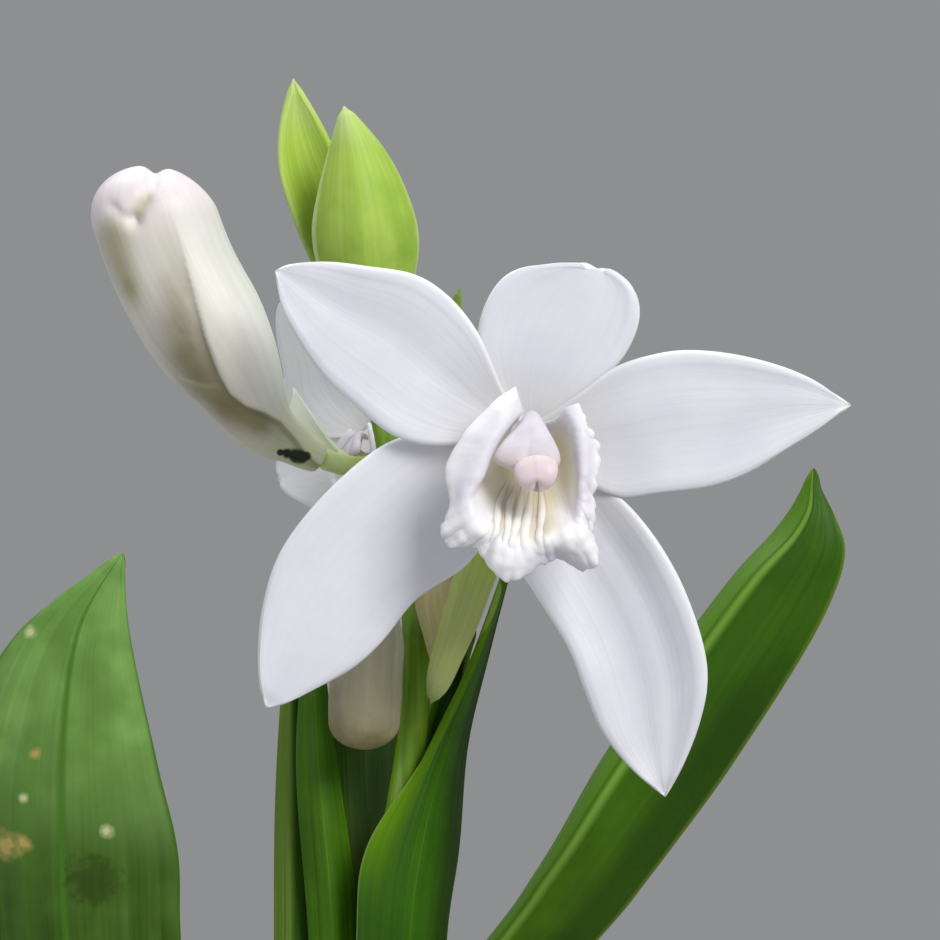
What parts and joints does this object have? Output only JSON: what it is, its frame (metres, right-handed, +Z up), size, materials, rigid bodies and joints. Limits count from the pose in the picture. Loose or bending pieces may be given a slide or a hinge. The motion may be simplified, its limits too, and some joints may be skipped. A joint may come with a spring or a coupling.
{
  "type": "potted bletilla orchid",
  "caption": "White bletilla orchid in a plain clay pot, with open flowers, closed buds, green bracts and long strap leaves.",
  "frame": {"origin": "the middle of the pot's base, on the surface that it stands on", "axes": "+Z up along the stem, -Y out of the face of the open flower, +X to the right of a viewer who faces that flower"},
  "size_m": [0.12, 0.12, 0.2994],
  "materials": {
    "clay": "matt unglazed terracotta, a little paler at the rim",
    "soil": "dark crumbly potting mix",
    "corm": "papery ringed skin",
    "leaf": "satin green leaf with lengthwise veins",
    "stem": "smooth satin green stem",
    "bud": "satin cream petal tissue, greener at the base",
    "old_bud": "dull cream tissue, slightly browned",
    "green_bract": "satin yellow-green with pale margins",
    "pale_bract": "dull olive green with a whitish tip",
    "tepal": "velvety cool white with faint veins",
    "lip": "crisp white, olive in the throat",
    "column": "waxy pale lavender",
    "anther_cap": "waxy pale pink"
  },
  "bodies": {
    "root": {"pot": "clay", "soil": "soil", "corm": "corm", "left_broad_leaf": "leaf", "right_strap_leaf": "leaf", "big_folded_leaf": "leaf", "second_leaf": "leaf", "far_left_leaf": "leaf", "short_leaf": "leaf", "flower_stem": "stem", "ovary": "stem", "back_ovary": "stem", "tall_bud": "bud", "nodding_bud": "old_bud", "terminal_bud": "green_bract", "right_green_bract": "green_bract", "left_green_bract": "green_bract", "upper_bract": "green_bract", "pale_bract": "pale_bract", "stem_bract": "old_bud", "tall_bud_bract": "pale_bract", "dorsal_sepal": "tepal", "left_sepal": "tepal", "right_sepal": "tepal", "left_petal": "tepal", "right_petal": "tepal", "lip": "lip", "column": "column", "anther_cap": "anther_cap", "back_left_petal": "tepal", "back_left_sepal": "tepal", "back_dorsal_sepal": "tepal", "back_right_petal": "tepal", "back_right_sepal": "tepal", "back_lip": "lip", "back_column": "column"}
  },
  "joints": []
}
